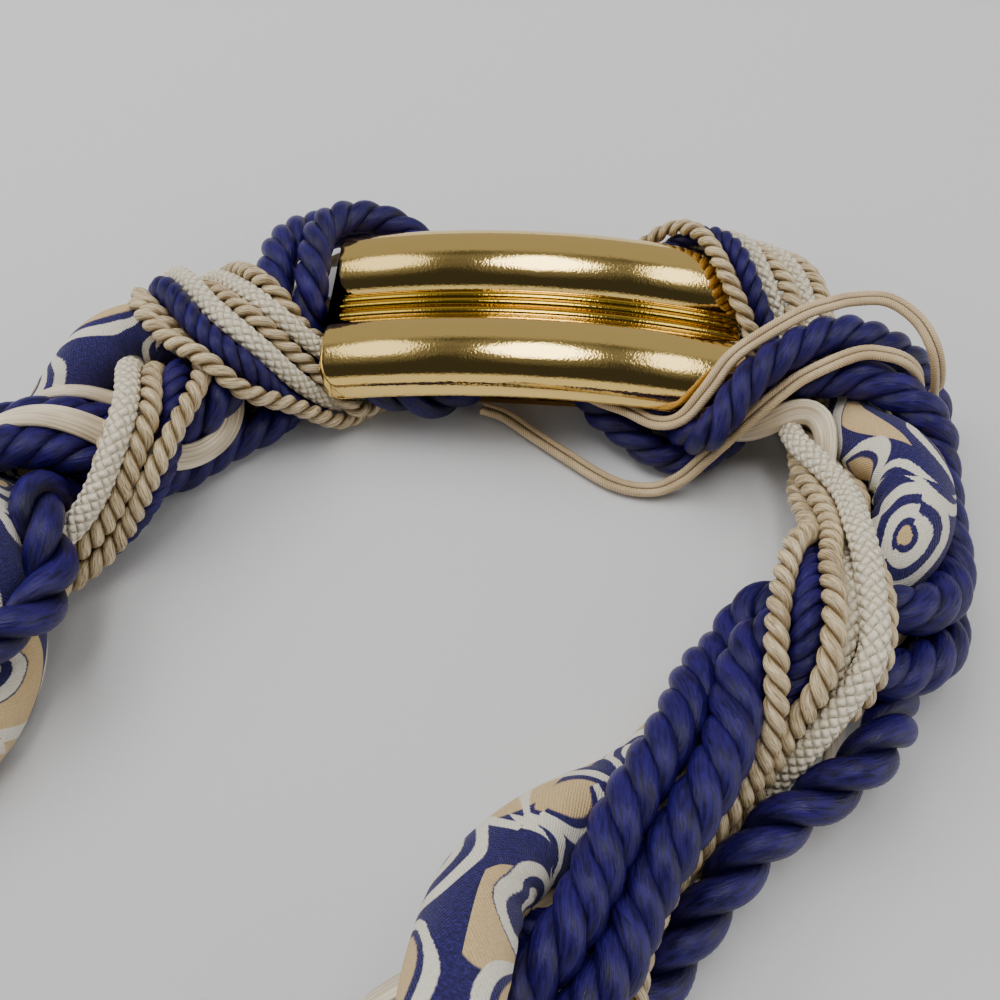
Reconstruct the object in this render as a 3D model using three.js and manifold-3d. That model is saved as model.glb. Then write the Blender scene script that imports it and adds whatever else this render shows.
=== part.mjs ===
// A braided belt: cords, ropes and a stuffed print tube plaited into a thick band,
// joined by a bowed two-bar metal buckle. It lies closed on a flat surface. Millimetres, +Z up.
import * as THREE from 'three';
import { mergeVertices } from 'three/addons/utils/BufferGeometryUtils.js';
import Module from 'manifold-3d';

const wasm = await Module();
wasm.setup();

// The belt as a whole
const beltLoop = 787;
const beltWidth = 34;
const beltHeight = 26;
const clearance = 0.3;

// The strands
const ropeDiameter = 9.6;
const stoutDiameter = 10.4;
const tubeDiameter = 15.2;
const thinRopeDiameter = 6;
const twistDiameter = 4.4;
const flatBraidDiameter = 5.2;
const ribbonWidth = 4;
const ribbonThickness = 2;
const soutacheWidth = 3.4;
const soutacheThickness = 1.8;
const pinchedShare = 0.75;
const tubePinch = 0.67;
const pinchLength = 70;
const pinchStart = 20;
const fineStep = 9.5;
const coarseStep = 18;
const hiddenFrom = 0.31;
const hiddenTo = 0.82;

// The buckle: two half-round bars side by side, bowed along their length, ribs between them
const bowLength = 91;
const barWidth = 18.5;
const barHeight = 8.5;
const channelWidth = 9;
const channelFloor = 3.2;
const ribCount = 4;
const ribHeight = 0.9;
const bowRise = 5;
const bowEndHeight = 12;
const sheetMetal = 1.2;
const bowCorner = 5.5;
const bowSteps = 10;
const bowWidth = 2 * barWidth + channelWidth;

// The clasp beneath it: a flat foot and a standing web that every strand ends on
const claspWidth = 0.52 * bowWidth;
const footLength = 24;
const footThickness = 1.6;
const webThickness = 3;
const webHeight = bowEndHeight + bowRise + channelFloor - sheetMetal - clearance;

// Finishes
const finishes = {
  navy: { color: 0x1d1f6b, roughness: 0.5, metalness: 0 },
  beige: { color: 0xc9ab86, roughness: 0.55, metalness: 0 },
  cream: { color: 0xe6dccb, roughness: 0.5, metalness: 0 },
  print: { color: 0x6b6a90, roughness: 0.8, metalness: 0 },
  gold: { color: 0xe0b24a, roughness: 0.15, metalness: 1 },
};

// How the belt lies: bow is a share of half the buckle's length, x and y shares of the loop.
// y is away from the near side; the route leaves the buckle at its right and comes back at its left.
const lie = [
  [0.04, 0, 0], [0.62, 0, 0], [1, 0.001, -0.001], [1, 0.016, -0.004], [1, 0.029, -0.010],
  [1, 0.037, -0.020], [1, 0.040, -0.036], [1, 0.039, -0.052], [1, 0.036, -0.067],
  [1, 0.029, -0.083], [1, 0.018, -0.097], [1, 0.005, -0.111], [0.86, 0, -0.124],
  [0.63, 0, -0.136], [0.38, 0, -0.149], [0.14, 0, -0.161], [-0.09, 0, -0.174],
  [-0.48, 0, -0.198], [-1, -0.001, -0.234], [-1, -0.041, -0.279], [-1, -0.079, -0.315],
  [-1, -0.120, -0.330], [-1, -0.156, -0.315], [-1, -0.171, -0.279], [-1, -0.165, -0.236],
  [-1, -0.145, -0.193], [-1, -0.120, -0.152], [-1, -0.093, -0.112], [-1, -0.074, -0.079],
  [-1, -0.065, -0.064], [-1, -0.055, -0.049], [-1, -0.044, -0.036], [-1, -0.031, -0.023],
  [-1, -0.017, -0.011], [-1, -0.001, -0.003], [-0.62, 0, 0], [-0.04, 0, 0],
].map(([bow, x, y]) => ({ bow, x, y }));

// The bundles' routes where they show. past is the share of the loop past the buckle's right end
// (or, in the left table, short of its left end), across a share of half the belt's width,
// outwards, up a share of its height, fan says how far a bundle spreads, 0 to 1, and turn by how
// many quarter turns it is rolled about its route.
const rightRows = {
  ropes: [
    [-0.030, -1.38, 0.27, 0, 0], [-0.016, -1.58, 0.31, 0, 0], [-0.003, -1.36, 0.42, 0, -0.3],
    [0.011, -0.86, 0.56, 0, -0.8], [0.022, -0.38, 0.71, 0, -1], [0.031, 0.05, 0.75, 0, -0.9],
    [0.038, 0.30, 0.64, 0, -0.5], [0.046, 0.42, 0.46, 0, -0.2], [0.056, 0.36, 0.33, 0, 0],
    [0.070, 0.30, 0.25, 0, 0], [0.086, 0.30, 0.25, 0, 0], [0.100, 0.45, 0.40, 0, 0],
    [0.112, 0.50, 0.60, 0, 0], [0.121, 0.22, 0.50, 0, 0], [0.127, -0.25, 0.42, 0, 0],
    [0.134, -0.55, 0.58, 0, 0], [0.148, -0.47, 0.80, 0, 0], [0.165, -0.23, 0.92, 0, 0],
    [0.192, 0.07, 0.96, 0, 0], [0.203, 0.22, 0.88, 0, 0], [0.218, 0.47, 0.54, 0, 0],
    [0.228, 0.60, 0.35, 0, 0], [0.245, 0.47, 0.28, 0, 0], [0.270, 0.12, 0.28, 0, 0],
    [0.302, -0.35, 0.35, 0, 0], [0.334, -0.76, 0.46, 0, 0],
  ],
  fan: [
    [-0.036, 1.00, 0.24, 0], [-0.024, 1.90, 0.26, 0.3], [-0.012, 1.95, 0.48, 0.8],
    [-0.003, 1.62, 0.68, 1], [0.002, 1.15, 0.80, 1], [0.005, 0.70, 0.84, 1],
    [0.009, 0.30, 0.72, 0.9], [0.016, -0.05, 0.42, 0.5], [0.030, -0.45, 0.25, 0.1],
    [0.050, -0.75, 0.31, 0], [0.072, -0.74, 0.46, 0], [0.092, -0.62, 0.69, 0],
    [0.107, -0.48, 0.80, 0], [0.123, -0.25, 0.88, 0], [0.135, -0.05, 0.88, 0],
    [0.146, 0.10, 0.70, 0], [0.154, 0.14, 0.42, 0], [0.164, 0.20, 0.22, 0],
    [0.182, 0.30, 0.20, 0], [0.206, 0.45, 0.20, 0], [0.235, 0.70, 0.24, 0],
    [0.258, 0.80, 0.34, 0.1], [0.278, 0.60, 0.50, 0.2], [0.302, 0.55, 0.65, 0.2],
    [0.334, 0.47, 0.73, 0.2],
  ],
  tube: [
    [0.004, 0.21, 0.31], [0.019, -0.04, 0.38], [0.035, -0.11, 0.50], [0.048, 0.05, 0.65],
    [0.064, 0.08, 0.77], [0.079, 0.14, 0.81], [0.093, 0.20, 0.77], [0.103, 0.27, 0.62],
    [0.113, 0.30, 0.35], [0.128, 0.30, 0.31], [0.153, -0.05, 0.31], [0.167, -0.10, 0.31],
    [0.178, -0.15, 0.38], [0.192, -0.21, 0.58], [0.203, -0.13, 0.73], [0.228, 0.11, 0.85],
    [0.240, 0.22, 0.85], [0.260, 0.71, 0.77], [0.278, 1.12, 0.54], [0.293, 1.12, 0.31],
    [0.315, 0.65, 0.29], [0.340, 0.06, 0.31],
  ],
  stout: [
    [0.004, 0.70, 0.22], [0.019, 0.45, 0.20], [0.035, 0.15, 0.20], [0.055, -0.15, 0.20],
    [0.080, -0.15, 0.20], [0.105, 0.00, 0.20], [0.123, 0.30, 0.23], [0.141, 0.44, 0.40],
    [0.158, 0.47, 0.48], [0.173, 0.58, 0.42], [0.187, 0.72, 0.36], [0.201, 0.68, 0.30],
    [0.216, 0.45, 0.22], [0.240, 0.30, 0.20], [0.270, 0.60, 0.50], [0.300, 0.50, 0.85],
    [0.340, -0.10, 0.80],
  ],
  ribbon: [
    [0.002, -1.55, 0.46], [0.023, -1.15, 0.65], [0.038, -0.67, 0.69], [0.047, -0.75, 0.50],
    [0.061, -0.85, 0.45], [0.084, -0.95, 0.40], [0.105, -0.90, 0.31], [0.122, -0.40, 0.20],
    [0.133, 0.45, 0.20], [0.140, 0.98, 0.30], [0.150, 0.80, 0.22], [0.168, 0.60, 0.14],
    [0.200, 0.65, 0.14], [0.240, 0.90, 0.20], [0.270, 1.10, 0.50], [0.300, 0.90, 0.90],
    [0.340, 0.30, 0.95],
  ],
};
const leftRows = {
  ropes: [
    [0.090, 0.78, 0.69, 1], [0.081, 0.15, 0.77, 1], [0.068, -0.28, 0.58, 0.7],
    [0.052, -0.45, 0.27], [0.039, -0.50, 0.23], [0.026, -0.60, 0.25], [0.015, -0.62, 0.36],
    [0.0085, -0.42, 0.58], [0.0065, -0.02, 0.80], [0.0055, 0.50, 0.90], [0.003, 1.15, 0.84],
    [-0.004, 1.88, 0.58], [-0.017, 2.05, 0.34], [-0.030, 1.50, 0.25],
  ],
  fan: [
    [0.105, -0.45, 0.27, 0], [0.093, -0.62, 0.42, 0], [0.083, -0.72, 0.65, 0],
    [0.071, -0.76, 0.85, 0], [0.058, -0.52, 0.85, 0], [0.045, 0.05, 0.50, 0.1],
    [0.039, 0.84, 0.27, 0.3], [0.034, 1.45, 0.27, 0.6], [0.028, 1.55, 0.54, 1],
    [0.028, 0.75, 0.88, 1], [0.026, -0.10, 0.98, 0.9], [0.022, -0.52, 0.90, 0.5],
    [0.015, -0.76, 0.64, 0.1], [0.009, -0.86, 0.40, 0], [0.000, -0.78, 0.20, 0],
    [-0.018, -0.60, 0.18, 0],
  ],
  tube: [
    [0.101, 0.16, 0.50], [0.090, 0.69, 0.31], [0.080, 1.03, 0.31], [0.070, 1.15, 0.46],
    [0.060, 0.82, 0.65], [0.047, 0.66, 0.65], [0.034, 0.61, 0.54], [0.025, 0.43, 0.42],
    [0.014, 0.20, 0.35], [0.003, 0.10, 0.35],
  ],
  stout: [
    [0.130, -1.22, 0.69], [0.106, -1.00, 0.65], [0.081, -0.55, 0.46], [0.062, -0.25, 0.27],
    [0.045, -0.30, 0.22], [0.029, -0.30, 0.22], [0.014, -0.45, 0.22], [-0.010, -1.15, 0.22],
    [-0.025, -1.10, 0.22],
  ],
  ribbon: [
    [0.100, 1.20, 0.60], [0.090, 0.68, 0.85], [0.083, -0.04, 0.95], [0.072, -0.40, 0.69],
    [0.055, -0.60, 0.40], [0.035, -0.20, 0.30], [0.015, 0.30, 0.20], [-0.010, 0.40, 0.20],
  ],
};

// The plait where the belt can't be seen: three bundles on one figure-of-eight wave, a third apart,
// which changes its hand part of the way along. phase is where each bundle is on the wave.
const plait = { from: 0.372, to: 0.133, turns: 2.34, start: 0.458, handChange: 0.51 };
const plaitReach = 0.95;
const plaitMiddle = 0.44;
const plaitLift = 0.24;
const plaitRows = 22;
const plaitFan = 0.15;
const handSpeed = 12;
const bundles = {
  ropes: { phase: 1 / 3, beside: 0 },
  fan: { phase: 2 / 3, beside: 0 },
  tube: { phase: 0, beside: 0.3 },
  stout: { phase: 0, beside: -0.5 },
  ribbon: { phase: 0, beside: -0.9 },
};

// Each strand: beside and lift place it in its bundle laid flat, gatheredBeside and gatheredLift
// in the bundle drawn together, in shares of its bundle's pitch; seats are its ends on the clasp's
// web, across (share of half the web) and above (share of its height), at the right and the left.
const pitches = {
  ropes: ropeDiameter + clearance,
  fan: (3 * twistDiameter + thinRopeDiameter + 2 * flatBraidDiameter) / 6 + clearance,
  tube: tubeDiameter,
  stout: stoutDiameter,
  ribbon: ribbonWidth,
};
const strands = [
  ['navy_rope_a', 'ropes', ropeDiameter, 6, 'navy', [0.5, 0], [0.5, 0], [-0.67, 0.30], [0.02, 0.30]],
  ['navy_rope_b', 'ropes', ropeDiameter, 6, 'navy', [-0.5, 0], [-0.5, 0], [0, 0.30], [0.68, 0.30]],
  ['satin_ribbon_a', 'ropes', 0, 4, 'cream', [-1.3, 0.2], [0, -0.7], [-0.16, 0.90], [0.30, 0.60]],
  ['beige_twist_a', 'fan', twistDiameter, 5, 'beige', [2.5, 0], [0.85, 0.5], [0.82, 0.60], [-0.80, 0.62]],
  ['thin_navy_rope', 'fan', thinRopeDiameter, 5, 'navy', [1.5, 0], [0.5, -0.6], [0.88, 0.84], [-0.83, 0.88]],
  ['cream_braid_a', 'fan', flatBraidDiameter, 5, 'cream', [0.5, 0], [0.1, -0.1], [0.52, 0.86], [-0.47, 0.62]],
  ['beige_twist_b', 'fan', twistDiameter, 5, 'beige', [-0.5, 0], [0, 0.5], [0.48, 0.61], [-0.47, 0.86]],
  ['cream_braid_b', 'fan', flatBraidDiameter, 5, 'cream', [-1.5, 0], [-0.8, 0.5], [0.17, 0.88], [-0.12, 0.62]],
  ['beige_twist_c', 'fan', twistDiameter, 5, 'beige', [-2.5, 0], [-0.85, -0.5], [0.14, 0.61], [-0.12, 0.88]],
  ['print_tube', 'tube', tubeDiameter, 8, 'print', [0, 0], [0, 0], [-0.60, 0.76], [0.72, 0.76]],
  ['stout_navy_rope', 'stout', stoutDiameter, 7, 'navy', [0, 0], [0, 0], [0.68, 0.30], [-0.66, 0.30]],
  ['satin_ribbon_b', 'ribbon', 0, 4, 'cream', [0, 0], [0, 0], [-0.17, 0.60], [0.20, 0.84]],
].map(([name, bundle, diameter, sides, finish, flat, gathered, right, left]) => (
  { name, bundle, diameter, sides, finish, flat, gathered, right, left }));
const leadLength = 13;

// Slack loops of flat soutache that lie over the right end: chosen points, millimetres
const soutacheRoutes = {
  soutache_a: [
    [-11, -15.6, 2.6], [-5.7, -17.0, 2.0], [0.5, -21.2, 1.6], [7.2, -25.9, 1.6], [18.4, -33.1, 1.6],
    [27, -34.8, 2.0], [33, -33.4, 4.5], [38, -30.5, 9], [46.7, -25.2, 18], [51.5, -22.2, 22],
    [56.4, -19.5, 25], [65.6, -16.7, 29], [71.5, -16.7, 29.5], [76.3, -17.2, 28], [79.8, -17.7, 24],
    [81.5, -17.8, 18], [80.7, -17.6, 12],
  ],
  soutache_b: [
    [11, -15.4, 10.8], [15.2, -18.4, 11.4], [20.7, -21.4, 12.6], [27, -24.8, 13.0], [32, -25.8, 16.5],
    [36.5, -22.4, 22], [41, -16.6, 25.5], [47.1, -12.6, 28.5], [55.4, -7.6, 30.5], [61, -5.3, 31],
    [65.9, -3.6, 31], [73.1, -3.3, 31], [79.0, -7.5, 30], [82.7, -12.8, 27], [84.9, -16.2, 21],
    [85.5, -16.6, 14],
  ],
};

// The settling of the strands on each other and on the surface
const settleRounds = 260;
const finishRounds = 120;
const pull = 0.12;
const stiffness = 0.14;
const softness = 0.88;
const leastWeight = 0.4;
const leastSqueeze = 0.2;
const nearMargin = 3;

const lieCurve = new THREE.CatmullRomCurve3(
  lie.map(({ bow, x, y }) => new THREE.Vector3(bow * bowLength / 2 + x * beltLoop, y * beltLoop, 0)),
  false, 'catmullrom', 0.5);
lieCurve.arcLengthDivisions = 900;
const lieLength = lieCurve.getLength();
const up = new THREE.Vector3(0, 0, 1);

// A point of the belt from its distance along the lie, across it and above the surface
function beltPoint(along, across, height) {
  const share = THREE.MathUtils.clamp(along / lieLength, 0, 1);
  const point = lieCurve.getPointAt(share);
  const outwards = new THREE.Vector3().crossVectors(up, lieCurve.getTangentAt(share));
  return point.addScaledVector(outwards, across).setZ(height);
}

function smooth(x) {
  const t = THREE.MathUtils.clamp(x, 0, 1);
  return t * t * (3 - 2 * t);
}

// The whole route of a bundle as rows of along, across, height, fan and beside in millimetres
function bundleRows(name) {
  const { phase, beside } = bundles[name];
  const rows = rightRows[name].map(([past, across, high, fan = 0, turn = 0]) => (
    { along: bowLength / 2 + past * beltLoop, across, high, fan, turn, beside: 0 }));
  const first = bowLength / 2 + plait.from * beltLoop;
  const last = lieLength - bowLength / 2 - plait.to * beltLoop;
  for (let i = 0; i <= plaitRows; i++) {
    const t = i / plaitRows;
    const angle = 2 * Math.PI * (plait.start + plait.turns * t + phase);
    const hand = 1 - 2 * smooth((t - plait.handChange) * handSpeed + 0.5);
    rows.push({
      along: THREE.MathUtils.lerp(first, last, t),
      across: plaitReach * Math.sin(angle),
      high: plaitMiddle + hand * plaitLift * Math.sin(2 * angle),
      fan: plaitFan,
      turn: 0,
      beside,
    });
  }
  for (const [past, across, high, fan = 0] of leftRows[name]) {
    rows.push({ along: lieLength - bowLength / 2 - past * beltLoop, across, high, fan, turn: 0, beside: 0 });
  }
  return rows;
}

// The target of one strand: its bundle's route, moved beside and lifted, between its two seats
function strandTarget(strand) {
  const rows = bundleRows(strand.bundle);
  const centre = rows.map(({ along, across, high }) => (
    beltPoint(along, across * beltWidth / 2, high * beltHeight)));
  const curve = new THREE.CatmullRomCurve3(centre, false, 'centripetal');
  const points = rows.map(({ along, fan, turn, beside }, i) => {
    const tangent = curve.getTangent(i / (rows.length - 1));
    const core = beltPoint(along, 0, plaitMiddle * beltHeight);
    const out = centre[i].clone().sub(core).normalize();
    out.addScaledVector(up, 0.4).addScaledVector(tangent, -out.dot(tangent)).normalize();
    const side = new THREE.Vector3().crossVectors(tangent, out);
    const pitch = pitches[strand.bundle];
    const sideways = THREE.MathUtils.lerp(strand.gathered[0], strand.flat[0], fan) + beside;
    const lift = THREE.MathUtils.lerp(strand.gathered[1], strand.flat[1], fan);
    const [cos, sin] = [Math.cos(turn * Math.PI / 2), Math.sin(turn * Math.PI / 2)];
    return centre[i].clone()
      .addScaledVector(side, (sideways * cos - lift * sin) * pitch)
      .addScaledVector(out, (sideways * sin + lift * cos) * pitch);
  });
  const seat = ([across, above], side, distance) => new THREE.Vector3(
    side * distance, across * claspWidth / 2, above * webHeight);
  const start = webThickness / 2 + clearance;
  return [
    seat(strand.right, 1, start), seat(strand.right, 1, start + leadLength), ...points,
    seat(strand.left, -1, start + leadLength), seat(strand.left, -1, start),
  ];
}

// Evenly set points on a route, further apart in the stretch that can't be seen
function resample(points) {
  const curve = new THREE.CatmullRomCurve3(points, false, 'centripetal');
  curve.arcLengthDivisions = 1200;
  const length = curve.getLength();
  const shares = [0];
  while (shares.at(-1) < 1) {
    const share = shares.at(-1);
    const step = share > hiddenFrom && share < hiddenTo ? coarseStep : fineStep;
    shares.push(share + step / length);
  }
  const stretch = 1 / shares.at(-1);
  return shares.map((share) => curve.getPointAt(Math.min(1, share * stretch)));
}

// The strand's radius at a point: pinched where it runs under the buckle
function radiusAt(diameter, fromEnd) {
  return diameter / 2 * THREE.MathUtils.lerp(pinchedShare, 1, smooth(fromEnd / pinchLength));
}

function makeStrand(strand) {
  const points = resample(strandTarget(strand));
  for (const [next, end] of [[points[1], points[0]], [points.at(-2), points.at(-1)]]) {
    next.set(next.x, end.y, end.z);
  }
  const size = strand.diameter || Math.hypot(ribbonWidth, ribbonThickness);
  const share = strand.name === 'print_tube' ? tubePinch : 1;
  const radii = points.map((point) => {
    const fromEnd = Math.max(0, Math.hypot(point.x, point.y) - pinchStart);
    return radiusAt(size, fromEnd) * THREE.MathUtils.lerp(share, 1, smooth(fromEnd / pinchLength));
  });
  return { strand, points, radii, target: points.map((point) => point.clone()), moves: true };
}

// A fixed line that the strands keep clear of
function fixedLine(points, radius) {
  return { points, radii: points.map(() => radius), moves: false };
}

function bowHeight(x) {
  return bowEndHeight + bowRise * (1 - (2 * x / bowLength) ** 2);
}

// The buckle's shell as lines along its bars, to keep the strands out of it
function bowLines() {
  const lines = [];
  const line = (y, z) => {
    const points = [];
    for (let i = 0; i <= 8; i++) {
      const x = bowLength * (i / 8 - 0.5);
      points.push(new THREE.Vector3(x, y, bowHeight(x) + z));
    }
    lines.push(fixedLine(points, sheetMetal));
  };
  for (const side of [-1, 1]) {
    for (let i = 0; i <= 8; i++) {
      const angle = Math.PI * i / 8;
      const y = side * (channelWidth + barWidth) / 2 + (barWidth - sheetMetal) / 2 * Math.cos(angle);
      const lowest = Math.abs(y) < channelWidth ? channelFloor : sheetMetal;
      line(y, Math.max((barHeight - sheetMetal / 2) * Math.sin(angle), lowest - sheetMetal / 2));
    }
  }
  for (const y of [-channelWidth / 3, 0, channelWidth / 3]) line(y, channelFloor - sheetMetal / 2);
  return lines;
}

// Closest points of two segments, as their shares along them
function closest(a, b, c, d) {
  const ux = b.x - a.x, uy = b.y - a.y, uz = b.z - a.z;
  const vx = d.x - c.x, vy = d.y - c.y, vz = d.z - c.z;
  const wx = a.x - c.x, wy = a.y - c.y, wz = a.z - c.z;
  const uu = ux * ux + uy * uy + uz * uz;
  const vv = vx * vx + vy * vy + vz * vz;
  const uv = ux * vx + uy * vy + uz * vz;
  const uw = ux * wx + uy * wy + uz * wz;
  const vw = vx * wx + vy * wy + vz * wz;
  const clamp = (x) => Math.min(1, Math.max(0, x));
  const across = uu * vv - uv * uv;
  let s = across > 1e-9 ? clamp((uv * vw - vv * uw) / across) : 0.5;
  const t = clamp((uv * s + vw) / vv);
  s = clamp((uv * t - uw) / uu);
  return { s, t };
}

// The strands' last segments face each other across the clasp's web
const atEnd = ({ line, i }) => line.moves && (i === 0 || i === line.points.length - 2);

// Pairs of segments near enough to touch in the next rounds
function nearPairs(lines, margin) {
  const segments = [];
  lines.forEach((line, k) => {
    for (let i = 0; i + 1 < line.points.length; i++) segments.push({ line, k, i });
  });
  const pairs = [];
  for (let m = 0; m < segments.length; m++) {
    const first = segments[m];
    const a = first.line.points[first.i];
    const b = first.line.points[first.i + 1];
    const reachA = a.distanceTo(b) / 2 + first.line.radii[first.i];
    for (let n = m + 1; n < segments.length; n++) {
      const second = segments[n];
      if (!first.line.moves && !second.line.moves) continue;
      if (first.k === second.k && second.i - first.i < 5) continue;
      if (atEnd(first) && atEnd(second)) continue;
      const c = second.line.points[second.i];
      const d = second.line.points[second.i + 1];
      const reach = reachA + c.distanceTo(d) / 2 + second.line.radii[second.i] + margin;
      const dx = (a.x + b.x - c.x - d.x) / 2;
      if (Math.abs(dx) > reach) continue;
      const dy = (a.y + b.y - c.y - d.y) / 2;
      const dz = (a.z + b.z - c.z - d.z) / 2;
      if (dx * dx + dy * dy + dz * dz < reach * reach) pairs.push([first, second]);
    }
  }
  return pairs;
}

const held = (line, i) => !line.moves || i < 2 || i > line.points.length - 3;

const thickness = ({ line, i }) => Math.max(line.radii[i], line.radii[i + 1]);

// Push two segments apart until their softened radii and the clearance fit between them
function part(first, second, share) {
  const a = first.line.points[first.i];
  const b = first.line.points[first.i + 1];
  const c = second.line.points[second.i];
  const d = second.line.points[second.i + 1];
  const { s, t } = closest(a, b, c, d);
  const dx = a.x + (b.x - a.x) * s - c.x - (d.x - c.x) * t;
  const dy = a.y + (b.y - a.y) * s - c.y - (d.y - c.y) * t;
  const dz = a.z + (b.z - a.z) * s - c.z - (d.z - c.z) * t;
  const wanted = clearance + softness * (thickness(first) + thickness(second));
  const distance = Math.hypot(dx, dy, dz) || 1e-6;
  if (distance >= wanted) return;
  const ends = [
    { point: a, weight: held(first.line, first.i) ? 0 : 1 - s, sign: 1 },
    { point: b, weight: held(first.line, first.i + 1) ? 0 : s, sign: 1 },
    { point: c, weight: held(second.line, second.i) ? 0 : 1 - t, sign: -1 },
    { point: d, weight: held(second.line, second.i + 1) ? 0 : t, sign: -1 },
  ];
  const total = Math.max(leastWeight, ends.reduce((sum, { weight }) => sum + weight * weight, 0));
  const push = share * (wanted - distance) / distance / total;
  for (const { point, weight, sign } of ends) {
    point.x += sign * weight * push * dx;
    point.y += sign * weight * push * dy;
    point.z += sign * weight * push * dz;
  }
}

// Draw the strands to their targets, straighten them, push them apart and keep them on the surface
function settle(lines) {
  let pairs = [];
  for (let round = 0; round < settleRounds + finishRounds; round++) {
    if (round % 10 === 0) pairs = nearPairs(lines, nearMargin);
    const easing = round < settleRounds;
    for (const line of lines) {
      if (!line.moves) continue;
      line.points.forEach((point, i) => {
        if (held(line, i)) return;
        if (easing) {
          const middle = line.points[i - 1].clone().add(line.points[i + 1]).multiplyScalar(0.5);
          point.lerp(line.target[i], pull).lerp(middle, stiffness);
        }
        const overFoot = Math.abs(point.x) < footLength && Math.abs(point.y) < claspWidth;
        point.z = Math.max(point.z, line.radii[i] + (overFoot ? footThickness + clearance : 0));
      });
    }
    for (const [first, second] of pairs) part(first, second, easing ? 0.5 : 0.9);
  }
}

// Where two soft strands still press on each other, both are squeezed thinner
function squeeze(lines) {
  const pressed = lines.map(({ radii }) => radii.slice());
  for (const [first, second] of nearPairs(lines, clearance)) {
    const [a, b] = [first.line.points[first.i], first.line.points[first.i + 1]];
    const [c, d] = [second.line.points[second.i], second.line.points[second.i + 1]];
    const { s, t } = closest(a, b, c, d);
    const distance = a.clone().lerp(b, s).distanceTo(c.clone().lerp(d, t));
    const solid = [first, second].reduce((sum, end) => sum + (end.line.moves ? 0 : thickness(end)), 0);
    const soft = thickness(first) + thickness(second) - solid;
    const share = Math.max(leastSqueeze, (distance - clearance - solid) / soft);
    for (const { line, k, i } of [first, second]) {
      if (!line.moves || share >= 1) continue;
      for (const n of [i, i + 1]) {
        pressed[k][n] = Math.min(pressed[k][n], share * thickness({ line, i }));
      }
    }
  }
  lines.forEach((line, k) => { line.radii = pressed[k]; });
}

// A path through given points whose frames carry each ring's radius and turn
class StrandPath extends THREE.Curve {
  constructor(points, radii, facing) {
    super();
    this.points = points;
    this.radii = radii;
    this.facing = facing;
  }

  getPoint(t) {
    return this.points[Math.round(t * (this.points.length - 1))];
  }

  getSpacedPoints() {
    return this.points;
  }

  computeFrenetFrames() {
    const tangents = this.points.map((point, i) => {
      const before = this.points[Math.max(0, i - 1)];
      const after = this.points[Math.min(this.points.length - 1, i + 1)];
      return after.clone().sub(before).normalize();
    });
    const binormals = tangents.map((tangent, i) => {
      const facing = this.facing(this.points[i]);
      return facing.addScaledVector(tangent, -facing.dot(tangent)).normalize();
    });
    const normals = tangents.map((tangent, i) => binormals[i].clone().cross(tangent));
    normals.forEach((normal, i) => normal.multiplyScalar(this.radii[i]));
    binormals.forEach((binormal, i) => binormal.multiplyScalar(this.radii[i]));
    return { tangents, normals, binormals };
  }
}

// A round section of unit radius with flat facets
function roundShape(sides) {
  const corners = [];
  for (let i = 0; i < sides; i++) {
    const angle = 2 * Math.PI * (i + 0.5) / sides;
    corners.push(new THREE.Vector2(Math.cos(angle), Math.sin(angle)));
  }
  return new THREE.Shape(corners);
}

// A flat section whose corners lie on the unit circle
function flatShape(width, thickness) {
  const half = Math.hypot(width, thickness);
  const [x, y] = [width / half, thickness / half];
  return new THREE.Shape([[-x, -y], [x, -y], [x, y], [-x, y]].map(([a, b]) => new THREE.Vector2(a, b)));
}

function ovalShape(width, thickness, sides) {
  const points = roundShape(sides).getPoints().slice(0, sides);
  return new THREE.Shape(points.map((p) => new THREE.Vector2(p.x * width / 2, p.y * thickness / 2)));
}

function sweep(shape, points, radii, facing) {
  return new THREE.ExtrudeGeometry(shape, {
    steps: points.length - 1,
    bevelEnabled: false,
    extrudePath: new StrandPath(points, radii, facing),
  });
}

// Away from the core of the plait, for ribbons that lie flat on it
function outFromCore(point) {
  let nearest = Infinity;
  let out = up.clone();
  for (const row of corePoints) {
    const distance = row.distanceTo(point);
    if (distance < nearest) {
      nearest = distance;
      out = point.clone().sub(row).addScaledVector(up, plaitMiddle * beltHeight / 2);
    }
  }
  return out.normalize();
}

const corePoints = [];
for (let i = 0; i <= 200; i++) corePoints.push(beltPoint(lieLength * i / 200, 0, plaitMiddle * beltHeight));

function toManifold(geometry) {
  const bare = geometry.clone();
  bare.deleteAttribute('normal');
  bare.deleteAttribute('uv');
  const merged = mergeVertices(bare, 1e-4);
  return new wasm.Manifold(new wasm.Mesh({
    numProp: 3,
    vertProperties: new Float32Array(merged.attributes.position.array),
    triVerts: new Uint32Array(merged.index.array),
  }));
}

function toGeometry(solid) {
  const { vertProperties, triVerts } = solid.getMesh();
  const geometry = new THREE.BufferGeometry();
  geometry.setAttribute('position', new THREE.BufferAttribute(new Float32Array(vertProperties), 3));
  geometry.setIndex(new THREE.BufferAttribute(new Uint32Array(triVerts), 1));
  geometry.computeVertexNormals();
  return geometry;
}

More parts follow.
